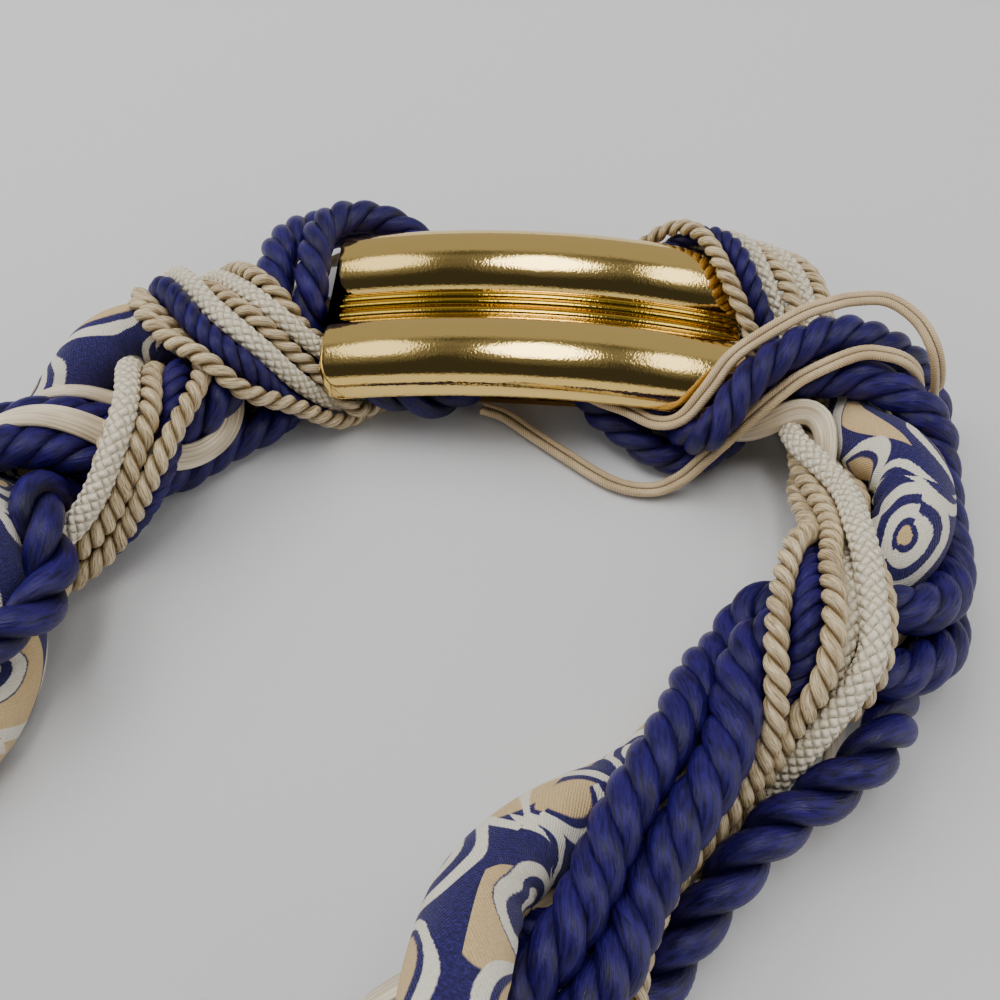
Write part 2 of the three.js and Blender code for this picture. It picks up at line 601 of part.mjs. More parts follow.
// The buckle's section: a half-round bar, the ribbed channel, the other bar, then the inside back
function bowSection() {
  const outline = [];
  const barCentre = (channelWidth + barWidth) / 2;
  const arc = (centre, halfWidth, height, from, to, steps) => {
    for (let i = 0; i <= steps; i++) {
      const angle = THREE.MathUtils.lerp(from, to, i / steps);
      outline.push([centre + halfWidth * Math.cos(angle), height * Math.sin(angle)]);
    }
  };
  const shoulder = Math.asin(channelFloor / barHeight);
  arc(-barCentre, barWidth / 2, barHeight, Math.PI, shoulder, 8);
  for (let i = 0; i < ribCount; i++) {
    const rib = channelWidth / ribCount;
    const left = -channelWidth / 2 + i * rib;
    const top = channelFloor + ribHeight;
    outline.push([left + rib * 0.30, top], [left + rib * 0.70, top]);
    if (i + 1 < ribCount) outline.push([left + rib, channelFloor]);
  }
  arc(barCentre, barWidth / 2, barHeight, Math.PI - shoulder, 0, 8);
  const inner = barHeight - sheetMetal;
  const innerShoulder = Math.asin((channelFloor - sheetMetal) / inner);
  arc(barCentre, barWidth / 2 - sheetMetal, inner, 0, Math.PI - innerShoulder, 6);
  arc(-barCentre, barWidth / 2 - sheetMetal, inner, innerShoulder, Math.PI, 6);
  return new THREE.Shape(outline.reverse().map(([x, y]) => new THREE.Vector2(x, y)));
}

// The bowed sheet, its ends cut to a plan with rounded corners
function bowGeometry() {
  const points = [];
  for (let i = 0; i <= bowSteps; i++) {
    const x = bowLength * (i / bowSteps - 0.5);
    points.push(new THREE.Vector3(x, 0, bowHeight(x)));
  }
  const path = new StrandPath(points, points.map(() => 1), () => up.clone());
  path.computeFrenetFrames = () => ({
    tangents: points.map(() => new THREE.Vector3(1, 0, 0)),
    normals: points.map(() => new THREE.Vector3(0, 1, 0)),
    binormals: points.map(() => up.clone()),
  });
  const section = { steps: bowSteps, bevelEnabled: false, extrudePath: path };
  const bars = new THREE.ExtrudeGeometry(bowSection(), section);
  const [x, y, r] = [bowLength / 2, bowWidth / 2, bowCorner];
  const plan = new THREE.Shape();
  plan.absarc(x - r, y - r, r, 0, Math.PI / 2);
  plan.absarc(-x + r, y - r, r, Math.PI / 2, Math.PI);
  plan.absarc(-x + r, -y + r, r, Math.PI, 1.5 * Math.PI);
  plan.absarc(x - r, -y + r, r, 1.5 * Math.PI, 2 * Math.PI);
  const depth = bowEndHeight + bowRise + barHeight + 2 * sheetMetal;
  const cutter = new THREE.ExtrudeGeometry(plan, { depth, bevelEnabled: false, curveSegments: 4 });
  return toGeometry(toManifold(bars).intersect(toManifold(cutter)));
}

function claspGeometry() {
  const foot = new THREE.BoxGeometry(footLength, claspWidth, footThickness);
  foot.translate(0, 0, footThickness / 2);
  const web = new THREE.BoxGeometry(webThickness, claspWidth, webHeight);
  web.translate(0, 0, webHeight / 2);
  return toGeometry(toManifold(foot).add(toManifold(web)));
}

function addMesh(group, name, geometry, finish) {
  const mesh = new THREE.Mesh(geometry, new THREE.MeshStandardMaterial(finishes[finish]));
  mesh.name = name;
  group.add(mesh);
}

const belt = new THREE.Group();

const soutaches = Object.entries(soutacheRoutes).map(([name, route]) => {
  const chosen = route.map((point) => new THREE.Vector3(...point));
  const points = new THREE.CatmullRomCurve3(chosen, false, 'centripetal').getSpacedPoints(20);
  return { name, points };
});

const moving = strands.map(makeStrand);
const lines = [
  ...moving,
  ...bowLines(),
  ...soutaches.map(({ points }) => fixedLine(points, soutacheWidth / 2)),
];
settle(lines);
squeeze(lines);

for (const { strand, points, radii } of moving) {
  const shape = strand.diameter ? roundShape(strand.sides) : flatShape(ribbonWidth, ribbonThickness);
  addMesh(belt, strand.name, sweep(shape, points, radii, outFromCore), strand.finish);
}
for (const { name, points } of soutaches) {
  const shape = ovalShape(soutacheWidth, soutacheThickness, 8);
  addMesh(belt, name, sweep(shape, points, points.map(() => 1), () => up.clone()), 'beige');
}
addMesh(belt, 'buckle', bowGeometry(), 'gold');
addMesh(belt, 'clasp', claspGeometry(), 'gold');

// The origin stands under the middle of the belt's box
const box = new THREE.Box3().setFromObject(belt);
const middle = box.getCenter(new THREE.Vector3());
belt.position.set(-middle.x, -middle.y, -box.min.z);

export default belt;
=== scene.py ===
import bpy
import numpy as np
from mathutils import Matrix, Vector


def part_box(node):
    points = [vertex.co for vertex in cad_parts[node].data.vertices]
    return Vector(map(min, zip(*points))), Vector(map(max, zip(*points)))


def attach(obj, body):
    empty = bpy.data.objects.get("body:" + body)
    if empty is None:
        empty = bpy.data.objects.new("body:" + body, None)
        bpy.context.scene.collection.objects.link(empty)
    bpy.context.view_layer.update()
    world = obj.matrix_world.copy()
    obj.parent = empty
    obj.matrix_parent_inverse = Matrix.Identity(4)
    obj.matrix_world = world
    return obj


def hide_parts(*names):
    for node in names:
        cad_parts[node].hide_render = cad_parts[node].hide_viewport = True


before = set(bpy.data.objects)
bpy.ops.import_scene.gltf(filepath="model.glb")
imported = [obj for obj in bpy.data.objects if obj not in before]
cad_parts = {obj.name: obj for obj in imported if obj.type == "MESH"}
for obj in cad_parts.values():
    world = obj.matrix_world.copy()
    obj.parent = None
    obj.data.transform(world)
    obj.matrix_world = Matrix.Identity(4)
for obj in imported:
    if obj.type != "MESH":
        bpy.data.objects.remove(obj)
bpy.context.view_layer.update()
scene = bpy.context.scene


# Camera. It hangs about 20 cm above the floor and 16 cm this side of the buckle, looks away from itself
# and down, and is turned a few degrees to the left.
buckle_low, buckle_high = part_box("buckle")
buckle_middle = np.array([(buckle_low.x + buckle_high.x) / 2, (buckle_low.y + buckle_high.y) / 2, 0.0])
camera_place = buckle_middle + np.array([0.003097, -0.161721, 0.197862])
camera_tilt = np.radians(58.0)
camera_turn = np.radians(3.9)
camera_lens = 38.6

forward = np.array([-np.sin(camera_turn) * np.cos(camera_tilt), np.cos(camera_turn) * np.cos(camera_tilt),
                    -np.sin(camera_tilt)])
rightward = np.array([np.cos(camera_turn), np.sin(camera_turn), 0.0])
upward = np.cross(rightward, forward)
camera_data = bpy.data.cameras.new("camera")
camera_data.lens = camera_lens
camera_data.sensor_width = 36.0
camera_data.clip_start = 0.01
camera = bpy.data.objects.new("camera", camera_data)
camera.matrix_world = Matrix(
    [(rightward[i], upward[i], -forward[i], camera_place[i]) for i in range(3)] + [(0, 0, 0, 1)])
scene.collection.objects.link(camera)
scene.camera = camera


# Slack soutache: a flat viscose braid of two ribs with a herringbone groove between them, laid in
# loose loops over the right end. It comes out beneath the buckle and goes back into the plait.
soutache_width = 0.0034
soutache_thickness = 0.0018
soutache_stitch = 0.0011
soutache_routes = {
    "soutache_a": [
        [-11, -15.6, 2.6], [-5.7, -17.0, 2.0], [0.5, -21.2, 1.6], [7.2, -25.9, 1.6], [18.4, -33.1, 1.6],
        [27, -34.8, 2.0], [33, -33.4, 4.5], [38, -30.5, 9], [46.7, -25.2, 18], [51.5, -22.2, 22],
        [56.4, -19.5, 25], [65.6, -16.7, 29], [71.5, -16.7, 29.5], [76.3, -17.2, 28], [79.8, -17.7, 24],
        [81.5, -17.8, 18], [80.7, -17.6, 12],
    ],
    "soutache_b": [
        [11, -15.4, 10.8], [15.2, -18.4, 11.4], [20.7, -21.4, 12.6], [27, -24.8, 13.0], [32, -25.8, 16.5],
        [36.5, -22.4, 22], [41, -16.6, 25.5], [47.1, -12.6, 28.5], [55.4, -7.6, 30.5], [61, -5.3, 31],
        [65.9, -3.6, 31], [73.1, -3.3, 31], [79.0, -7.5, 30], [82.7, -12.8, 27], [84.9, -16.2, 21],
        [85.5, -16.6, 14],
    ],
}


class Link:
    """A socket whose operators add the Math node of the same name."""

    def __init__(self, tree, socket):
        self.tree = tree
        self.socket = socket

    def __add__(self, other):
        return self.tree.maths("ADD", self, other)

    def __sub__(self, other):
        return self.tree.maths("SUBTRACT", self, other)

    def __rsub__(self, other):
        return self.tree.maths("SUBTRACT", other, self)

    def __mul__(self, other):
        return self.tree.maths("MULTIPLY", self, other)

    def __truediv__(self, other):
        return self.tree.maths("DIVIDE", self, other)

    __radd__ = __add__
    __rmul__ = __mul__


class Finish:
    """The node tree of a material, or of the light around the scene; add() makes any node."""

    def __init__(self, owner, shader, **constants):
        owner.use_nodes = True
        self.material = owner
        self.nodes = owner.node_tree.nodes
        self.links = owner.node_tree.links
        self.shader = self.nodes[shader]
        for socket, value in constants.items():
            self.shader.inputs[socket.replace("_", " ")].default_value = value

    def add(self, kind, settings, *values, sockets=range(9), output=0, **named):
        """A node of a kind with its settings, and values or links for the sockets numbered in sockets and
        for the named ones; gives the link of its output."""
        node = self.nodes.new(kind)
        for setting, value in settings.items():
            setattr(node, setting, value)
        for key, value in [*zip(sockets, values), *named.items()]:
            socket = node.inputs[key.replace("_", " ") if isinstance(key, str) else key]
            if isinstance(value, Link):
                self.links.new(value.socket, socket)
            else:
                socket.default_value = value
        return Link(self, node.outputs[output])

    def feed(self, socket, value):
        """Link a value to a socket of the shader."""
        self.links.new(value.socket, self.shader.inputs[socket])

    def smooth(self, value, low, high):
        """0 at low and 1 at high, and between them 3 t t - 2 t t t of the share t."""
        return self.add("ShaderNodeMapRange", dict(interpolation_type="SMOOTHSTEP"), value, low, high)

    def noise(self, place, scale, detail=2.0, roughness=0.5, dimensions="3D"):
        """Cloudy noise from 0 to 1, about a half in the middle."""
        settings = dict(noise_dimensions=dimensions)
        return self.add("ShaderNodeTexNoise", settings, Vector=place, Scale=scale, Detail=detail,
                        Roughness=roughness)

    def mix(self, share, first, second):
        """The first colour where share is 0, the second where it is 1."""
        colours = dict(data_type="RGBA")
        return self.add("ShaderNodeMix", colours, share, first, second, sockets=(0, 6, 7), output=2)

    def bump(self, height, distance, **more):
        """A normal tilted by a height, which stands for distance metres where it is 1."""
        return self.add("ShaderNodeBump", {}, Height=height, Distance=distance, Strength=1.0, **more)

    def apart(self, vector):
        """The three numbers of a vector."""
        whole = self.add("ShaderNodeSeparateXYZ", {}, vector)
        return [Link(self, output) for output in whole.socket.node.outputs]

    def lay_map(self):
        """Millimetres along the yarn and share of the way round it, from the piece's own UV map."""
        return self.apart(self.add("ShaderNodeUVMap", dict(uv_map="lay")))[:2]

    def maths(self, operation, *values):
        """A Math node's operation on its values."""
        return self.add("ShaderNodeMath", dict(operation=operation), *values)

    def floor(self, value):
        """The whole number below."""
        return self.maths("FLOOR", value)

    def size(self, value):
        """The value without its sign."""
        return self.maths("ABSOLUTE", value)

    def wave(self, value):
        """The sine of an angle."""
        return self.maths("SINE", value)

    def place(self, x, y, z=0.0):
        """A vector of three numbers."""
        return self.add("ShaderNodeCombineXYZ", {}, x, y, z)


def finish_of(name, **constants):
    """A new material with the constants of its Principled BSDF."""
    return Finish(bpy.data.materials.new(name), "Principled BSDF", **constants)


def linear(red, green, blue):
    """A screen colour, 0 to 255, as a linear one."""
    share = np.array([red, green, blue]) / 255
    return (*np.where(share < 0.04045, share / 12.92, ((share + 0.055) / 1.055) ** 2.4), 1.0)


def spaced(rows, step, closeness=0.0):
    """Rows of numbers, the first three a place, on a smooth curve through them.

    Between two rows runs a cubic whose slopes are the chords of the neighbours (Catmull-Rom). The curve
    is then cut into steps of equal length, and closeness is the width of a bell that irons kinks out."""
    rows = np.asarray(rows, float)
    padded = np.vstack([2 * rows[0] - rows[1], rows, 2 * rows[-1] - rows[-2]])
    share = np.linspace(0, 1, 24, endpoint=False)[None, :, None]
    before, start, end, after = (padded[i:len(rows) - 1 + i, None, :] for i in range(4))
    dense = 0.5 * (2 * start + (end - before) * share
                   + (2 * before - 5 * start + 4 * end - after) * share ** 2
                   + (3 * start - before - 3 * end + after) * share ** 3)
    dense = np.vstack([dense.reshape(-1, rows.shape[1]), rows[-1:]])
    dense = evenly(dense, step)
    if closeness:
        reach = int(3 * closeness / step)
        bell = np.exp(-0.5 * (np.arange(-reach, reach + 1) * step / closeness) ** 2)
        bell /= bell.sum()
        ends = np.vstack([2 * dense[0] - dense[reach:0:-1], dense, 2 * dense[-1] - dense[-2:-reach - 2:-1]])
        dense = np.stack([np.convolve(column, bell, "valid") for column in ends.T], 1)
        dense = evenly(dense, step)
    return dense


def evenly(rows, step):
    """Rows at steps of equal length, whose first three numbers are a place."""
    length = np.append(0, np.cumsum(np.linalg.norm(np.diff(rows[:, :3], axis=0), axis=1)))
    stations = np.linspace(0, length[-1], int(length[-1] / step) + 2)
    return np.stack([np.interp(stations, length, column) for column in rows.T], 1)


def unit(vectors):
    """Each vector over its length."""
    return vectors / np.maximum(np.linalg.norm(vectors, axis=-1, keepdims=True), 1e-12)


def along_path(path):
    """Distance along a path and its directions at each point."""
    steps = np.linalg.norm(np.diff(path, axis=0), axis=1)
    return np.append(0, np.cumsum(steps)), unit(np.gradient(path, axis=0))


def square_to(directions, tangents):
    """Directions less their part along the tangents, over their length."""
    return unit(directions - np.sum(directions * tangents, 1)[:, None] * tangents)


def skin(name, sheets, material):
    """A mesh of closed tubes. Each sheet is a grid of points, stations by corners, with its distance along
    and its share of the way round; quads join the grid, and each end is one flat face. What would sink
    below the floor is pressed flat on it."""
    points, faces_start, faces_size, corners, uvs = [], [], [], [], []
    first = 0
    corner_count = 0
    for grid, along in sheets:
        stations, sides = grid.shape[:2]
        index = first + np.arange(stations * sides).reshape(stations, sides)
        after = np.roll(index, -1, axis=1)
        quads = np.stack([index[:-1], after[:-1], after[1:], index[1:]], -1).reshape(-1, 4)
        u = np.broadcast_to(along[:, None] * 1000, (stations, sides))
        v = np.broadcast_to(np.arange(sides) / sides, (stations, sides))
        v_after = v + 1 / sides
        quad_uv = np.stack([np.stack([u[:-1], v[:-1]], -1), np.stack([u[:-1], v_after[:-1]], -1),
                            np.stack([u[1:], v_after[1:]], -1), np.stack([u[1:], v[1:]], -1)], 2)
        corners += [quads.ravel(), index[0, ::-1], index[-1]]
        uvs += [quad_uv.reshape(-1, 2), np.stack([u[0], v[0]], -1)[::-1], np.stack([u[-1], v[-1]], -1)]
        sizes = np.append(np.full(len(quads), 4), [sides, sides])
        faces_size.append(sizes)
        faces_start.append(corner_count + np.append(0, np.cumsum(sizes)[:-1]))
        corner_count += sizes.sum()
        points.append(grid.reshape(-1, 3))
        first += stations * sides
    points = np.vstack(points).astype(np.float32)
    points[:, 2] = np.maximum(points[:, 2], 0)
    corners = np.concatenate(corners).astype(np.int32)
    sizes = np.concatenate(faces_size).astype(np.int32)
    mesh = bpy.data.meshes.new(name)
    mesh.vertices.add(len(points))
    mesh.vertices.foreach_set("co", points.ravel())
    mesh.loops.add(len(corners))
    mesh.loops.foreach_set("vertex_index", corners)
    mesh.polygons.add(len(sizes))
    mesh.polygons.foreach_set("loop_start", np.concatenate(faces_start).astype(np.int32))
    mesh.polygons.foreach_set("use_smooth", sizes == 4)
    mesh.uv_layers.new(name="lay").data.foreach_set("uv", np.vstack(uvs).astype(np.float32).ravel())
    mesh.update(calc_edges=True)
    mesh.validate()
    mesh.materials.append(material)
    piece = bpy.data.objects.new(name, mesh)
    scene.collection.objects.link(piece)
    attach(piece, "root")
    return piece


def soutache_finish():
    """Beige viscose: fine threads slant over each rib, mirrored on the other, and a groove runs between the
    ribs. The colour is painted darker between the threads and in the groove, as shade. Across is the cosine
    of the way round without its sign: 1 at the edges and 0 in the groove."""
    finish = finish_of("soutache", Roughness=0.38, Sheen_Weight=0.1, Specular_IOR_Level=0.6)
    along, around = finish.lay_map()
    across = finish.size(finish.wave(around * (2 * np.pi) + np.pi / 2))
    threads = finish.wave((along / (soutache_stitch * 500) - across * 2.4) * (2 * np.pi)) * 0.5 + 0.5
    fuzz = finish.noise(finish.place(along * 6, around * 30), 1.0, 2.0, 0.6, "2D")
    tone = finish.noise(finish.place(along * 0.12, around * 2), 1.0, 2.0, 0.5, "2D")
    # The fuzz and tone are the yarn's own colour; the threads term paints shade between the threads.
    mixed = finish.smooth(threads * 0.3 + fuzz * 0.3 + tone * 0.4, 0.2, 0.75)
    colour = finish.mix(mixed, linear(166, 138, 98), linear(220, 196, 154))
    # Painted shade: the groove between the ribs is darkened.
    colour = finish.mix(finish.smooth(across, 0.2, 0.03), colour, linear(96, 72, 44))
    finish.feed("Base Color", colour)
    finish.feed("Normal", finish.bump(threads * 0.6 + fuzz * 0.5, 0.00009))
    return finish.material


def soutache_band(path, facing, width, thickness):
    """Two ribs side by side: half the width is a rib, its height the side of a circle, and the groove
    dips to a third. A slanting ripple stands for the threads, slight on the ribs and strong in the groove,
    and is mirrored across it. The stations run from the far end back, so that the faces look outwards."""
    length, tangents = along_path(path)
    out = square_to(facing, tangents)
    side = np.cross(tangents, out)
    turn = np.linspace(0, 2 * np.pi, 32, endpoint=False)[None, :]
    beside = np.cos(turn)
    rib = np.sqrt(np.clip(1 - (2 * np.abs(beside) - 1) ** 2, 0.10, 1))
    slant = 2 * np.pi * (length[:, None] / soutache_stitch - np.abs(beside) * 0.9)
    groove = np.exp(-(beside / 0.16) ** 2)
    ripple = 1 + 0.02 * np.sin(slant) * (1 - groove) + 0.30 * groove * np.sin(slant)
    high = np.sign(np.sin(turn)) * rib * ripple * thickness / 2
    across = beside * width / 2 * (1 + 0.015 * np.sin(slant))
    grid = path[:, None] + side[:, None] * across[..., None] + out[:, None] * high[..., None]
    return grid[::-1], length[::-1]


soutache_material = soutache_finish()
for name, route in soutache_routes.items():
    points = np.array(route) / 1000 + buckle_middle
    path = spaced(points, 0.0003)
    facing = np.tile([0.0, 0.0, 1.0], (len(path), 1))
    band = soutache_band(path, facing, soutache_width, soutache_thickness)
    loop = skin(name + "_braid", [band], soutache_material)
    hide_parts(name)


# Navy ropes: thick twisted ropes of shiny viscose. Three plies are laid left-handed round each other,
# and every ply is a bundle of filaments twisted the other way. They run along the belt's own strands.
rope_lay = 0.019
rope_navy = linear(6, 5, 28), linear(36, 22, 104)

# Where a strand's first face is looked for: so far right of the buckle's middle at most, so far beside
# it, and with its corners within so much of the nearest one.
first_face_right = 0.01
first_face_beside = 0.02
first_face_level = 0.00002


def strand_rings(node):
    """Centres, mean radii and widest directions of the rings that a strand's solid is made of.

    The first ring is the face that stands next to the clasp's web; each next ring is what the edges reach
    from the last one."""
    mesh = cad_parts[node].data
    corners = np.empty(len(mesh.vertices) * 3, np.float32)
    mesh.vertices.foreach_get("co", corners)
    index = np.empty(len(mesh.loops), np.int32)
    mesh.loops.foreach_get("vertex_index", index)
    rounded, same = np.unique(np.round(corners.reshape(-1, 3) * 1e6).astype(np.int64), axis=0,
                              return_inverse=True)
    places = rounded / 1e6
    triangles = same.ravel()[index].reshape(-1, 3)
    edges = np.vstack([triangles[:, [0, 1]], triangles[:, [1, 2]], triangles[:, [2, 0]]])
    edges = np.vstack([edges, edges[:, ::-1]])
    from_web = places[:, 0] - buckle_middle[0]
    beside = np.abs(places[:, 1] - buckle_middle[1]) < first_face_beside
    near = beside & (from_web > 0) & (from_web < first_face_right)
    front = near & (from_web < from_web[near].min() + first_face_level)
    seen = np.zeros(len(places), bool)
    rings = []
    while front.any():
        rings.append(places[front])
        seen |= front
        reached = np.zeros(len(places), bool)
        reached[edges[front[edges[:, 0]], 1]] = True
        front = reached & ~seen
    centres = np.array([ring.mean(0) for ring in rings])
    radii = np.array([np.linalg.norm(ring - ring.mean(0), axis=1).mean() for ring in rings])
    wide = np.array([np.linalg.svd(ring - ring.mean(0))[2][0] for ring in rings])
    turned = np.sign(np.sum(wide[1:] * wide[:-1], axis=1))
    wide[1:] *= np.cumprod(turned)[:, None]
    return centres, radii, wide


def strand_route(node, step, fullness, closeness=0.0035, calm_over=0.012):
    """A strand's smooth centreline, its radius there, which is the solid's times fullness, and its
    widest direction. The radius is calmed by a bell calm_over wide."""
    centres, radii, wide = strand_rings(node)
    rows = spaced(np.column_stack([centres, radii * fullness, wide]), step, closeness)
    bell = np.exp(-0.5 * (np.arange(-3, 3, step / calm_over)) ** 2)
    calm = np.convolve(np.pad(rows[:, 3], len(bell) // 2, "edge"), bell / bell.sum(), "valid")[:len(rows)]
    return rows[:, :3], calm, rows[:, 4:]


def untwisted(path, tangents):
    """Sides of a path that don't turn about it: each is the last one, less what points along the path."""
    side = np.array([0.0, 0.0, 1.0]) if abs(tangents[0, 2]) < 0.9 else np.array([1.0, 0.0, 0.0])
    sides = np.empty_like(tangents)
    for i, tangent in enumerate(tangents):
        side = side - tangent * (side @ tangent)
        side /= np.linalg.norm(side)
        sides[i] = side
    return sides, np.cross(tangents, sides)


def plies(path, radius, count, lay, offset, size, oval, sides):
    """Tubes wound round a path, right-handed where the lay is positive. Ply k stands at the angle
    2 pi (distance / lay + k / count), offset times the radius away, and its section is size times the
    radius wide and oval times that deep."""
    length, tangents = along_path(path)
    first, second = untwisted(path, tangents)
    turn = np.linspace(0, 2 * np.pi, sides, endpoint=False)[None, :, None]
    sheets = []
    for k in range(count):
        angle = (2 * np.pi * (length / lay + k / count))[:, None]
        out = np.cos(angle) * first + np.sin(angle) * second
        centre = path + out * (radius * offset)[:, None]
        ply_length, ply_tangents = along_path(centre)
        deep = square_to(out, ply_tangents)
        across = np.cross(ply_tangents, deep)
        wide = (radius * size)[:, None, None]
        sheets.append((centre[:, None] + wide * (oval * np.cos(turn) * deep[:, None]
                                                 + np.sin(turn) * across[:, None]), ply_length))
    return sheets


def yarn_finish(name, dark, light, slant, filament=0.00012, roughness=0.42, sheen=0.1, gloss=0.5):
    """Silky viscose: fine filaments run along each yarn at a slant, in two tones, with a soft sheen of the
    yarn's own colour. Painted shade darkens each yarn's flanks, in the grooves, and leaves its outer side
    lightest. Outward is the cosine of the way round."""
    finish = finish_of(name, Roughness=roughness, Sheen_Weight=sheen, Sheen_Roughness=0.35, Sheen_Tint=light,
                       Specular_IOR_Level=gloss)
    along, around = finish.lay_map()
    lines = finish.noise(finish.place(around * 26 + along * slant, along * 0.35), 1.0, 3.0, 0.65, "2D")
    tone = finish.noise(finish.place(around * 3, along * 0.06), 1.0, 2.0, 0.5, "2D")
    outward = finish.wave(around * (2 * np.pi) + np.pi / 2)
    # Painted shade: the colour is darkened on each yarn's flanks, in the grooves between the plies.
    painted_flank_shade = finish.smooth(outward, -0.2, 0.85) * 0.8 + 0.2
    mixed = finish.smooth(lines * 0.7 + tone * 0.3, 0.25, 0.7) * painted_flank_shade
    finish.feed("Base Color", finish.mix(mixed, dark, light))
    finish.feed("Roughness", finish.smooth(lines, 0.2, 0.9) * 0.16 + (roughness - 0.08))
    finish.feed("Normal", finish.bump(lines, filament))
    return finish.material


def navy_finish(name, slant):
    """Dark navy viscose, its filaments at the slant given."""
    return yarn_finish(name, *rope_navy, slant, filament=0.0002, roughness=0.4, sheen=0.08, gloss=0.36)


rope_yarn = navy_finish("navy_rope_yarn", -0.9)
for name in ("navy_rope_a", "navy_rope_b"):
    path, radius, _ = strand_route(name, step=0.0009, fullness=1.14)
    laid = plies(path, radius, count=3, lay=-rope_lay, offset=0.50, size=0.53, oval=0.92, sides=16)
    rope = skin(name + "_laid", laid, rope_yarn)
    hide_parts(name)


# Stout navy rope: a right-handed rope of the same viscose. It has two thick plies only, so that its
# sides show deep scallops where it stands out at the belt's outer edge.
stout_yarn = navy_finish("navy_stout_yarn", 0.9)
path, radius, _ = strand_route("stout_navy_rope", step=0.0009, fullness=1.12)
laid = plies(path, radius, count=2, lay=0.021, offset=0.45, size=0.59, oval=0.88, sides=20)
stout = skin("stout_rope_laid", laid, stout_yarn)
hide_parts("stout_navy_rope")


# Thin navy rope: the same viscose laid right-handed in three finer plies. It runs among the pale cords
# and ends on the clasp with them.
path, radius, _ = strand_route("thin_navy_rope", step=0.0007, fullness=1.14)
laid = plies(path, radius, count=3, lay=0.0115, offset=0.50, size=0.53, oval=0.92, sides=10)
thin = skin("thin_rope_laid", laid, stout_yarn)
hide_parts("thin_navy_rope")


# Beige twists: thin cords of two plies of viscose with a warm satin sheen, twisted tightly and
# left-handed. They lie side by side in the fans of pale cords.
beige_yarn = yarn_finish("beige_yarn", linear(112, 86, 48), linear(230, 210, 168), slant=-1.6,
                         filament=0.0001, roughness=0.3, gloss=0.8)
for name in ("beige_twist_a", "beige_twist_b", "beige_twist_c"):
    path, radius, _ = strand_route(name, step=0.00055, fullness=1.16)
    laid = plies(path, radius, count=2, lay=-0.0074, offset=0.48, size=0.56, oval=0.97, sides=10)
    twist = skin(name + "_laid", laid, beige_yarn)
    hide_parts(name)


# Cream braids: round cords plaited of twelve flat viscose yarns, six each way, each over one and under
# one, over a soft core. The light glints on every stitch.
braid_pitch = 0.0142
braid_yarns = 6


def braid_finish():
    """Stitches of a plain plait. A yarn of one hand lies where yarns * (share round + distance / pitch) is
    near a half, of the other hand with a minus; who is over changes from cell to cell like a chessboard's
    colours. The gaps between stitches are painted darker, as shade, and fine filaments run through the
    stitches."""
    finish = finish_of("cream_yarn", Roughness=0.3, Sheen_Weight=0.1, Sheen_Roughness=0.35,
                       Specular_IOR_Level=0.9)
    along, around = finish.lay_map()
    turns = along / (braid_pitch * 1000)
    right_hand = (around + turns) * braid_yarns
    left_hand = (around - turns) * braid_yarns
    right_cell, left_cell = finish.floor(right_hand), finish.floor(left_hand)
    right_share, left_share = right_hand - right_cell, left_hand - left_cell
    right_rise = right_share * (1 - right_share) * 4
    left_rise = left_share * (1 - left_share) * 4
    over = finish.maths("MODULO", finish.size(right_cell + left_cell), 2)
    height = (over * right_rise * (left_rise * 0.45 + 0.55)
              + (1 - over) * left_rise * (right_rise * 0.45 + 0.55))
    grain = finish.noise(finish.place(along * 1.2, around * 60), 1.0, 2.0, 0.6, "2D")
    # Painted shade: where the stitch relief is low, in the gaps, the colour is darker; the grain is the
    # yarn's own.
    mixed = finish.smooth(height * 0.6 + grain, 0.2, 1.0)
    finish.feed("Base Color", finish.mix(mixed, linear(180, 163, 130), linear(238, 227, 201)))
    finish.feed("Normal", finish.bump(height + grain * 0.4, 0.0006))
    return finish.material


def plaited(path, radius, pitch, yarns, corners):
    """A tube with the stitches in low relief. Where a yarn lies on top, it is 4 share (1 - share) high,
    share being the place across it, and times 0.55 to 1 as the yarn beneath it rises."""
    length, tangents = along_path(path)
    first, second = untwisted(path, tangents)
    share = np.arange(corners)[None, :] / corners
    turns = length[:, None] / pitch
    right_hand = (share + turns) * yarns
    left_hand = (share - turns) * yarns
    right_rise = 4 * (right_hand % 1) * (1 - right_hand % 1)
    left_rise = 4 * (left_hand % 1) * (1 - left_hand % 1)
    over = (np.floor(right_hand) + np.floor(left_hand)) % 2
    height = np.where(over, right_rise * (0.55 + 0.45 * left_rise), left_rise * (0.55 + 0.45 * right_rise))
    turn = 2 * np.pi * share[..., None]
    out = np.cos(turn) * first[:, None] + np.sin(turn) * second[:, None]
    return path[:, None] + out * (radius[:, None] * (0.84 + 0.20 * height))[..., None], length


cream_yarn = braid_finish()
for name in ("cream_braid_a", "cream_braid_b"):
    path, radius, _ = strand_route(name, step=0.00056, fullness=1.14)
    plait = plaited(path, radius, braid_pitch, braid_yarns, corners=48)
    braid = skin(name + "_plait", [plait], cream_yarn)
    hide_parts(name)


# Satin ribbons: narrow cream ribbons with a satin face, folded to a soft flat band. Fine ribs run along
# them, and they end on the clasp with the cords.
ribbon_half_width = 0.0028
ribbon_half_depth = 0.0009


def satin_finish():
    """Fine ribs along the ribbon and broad soft bands of tone across it."""
    finish = finish_of("satin", Roughness=0.32, Sheen_Weight=0.1, Specular_IOR_Level=0.6)
    along, around = finish.lay_map()
    ribs = finish.noise(finish.place(around * 34, along * 0.05), 1.0, 2.0, 0.5, "2D")
    tone = finish.noise(finish.place(around * 2, along * 0.08), 1.0, 2.0, 0.5, "2D")
    colour = finish.mix(finish.smooth(ribs * 0.6 + tone * 0.4, 0.3, 0.7),
                        linear(184, 164, 132), linear(240, 226, 198))
    finish.feed("Base Color", colour)
    finish.feed("Normal", finish.bump(ribs, 0.00012))
    return finish.material


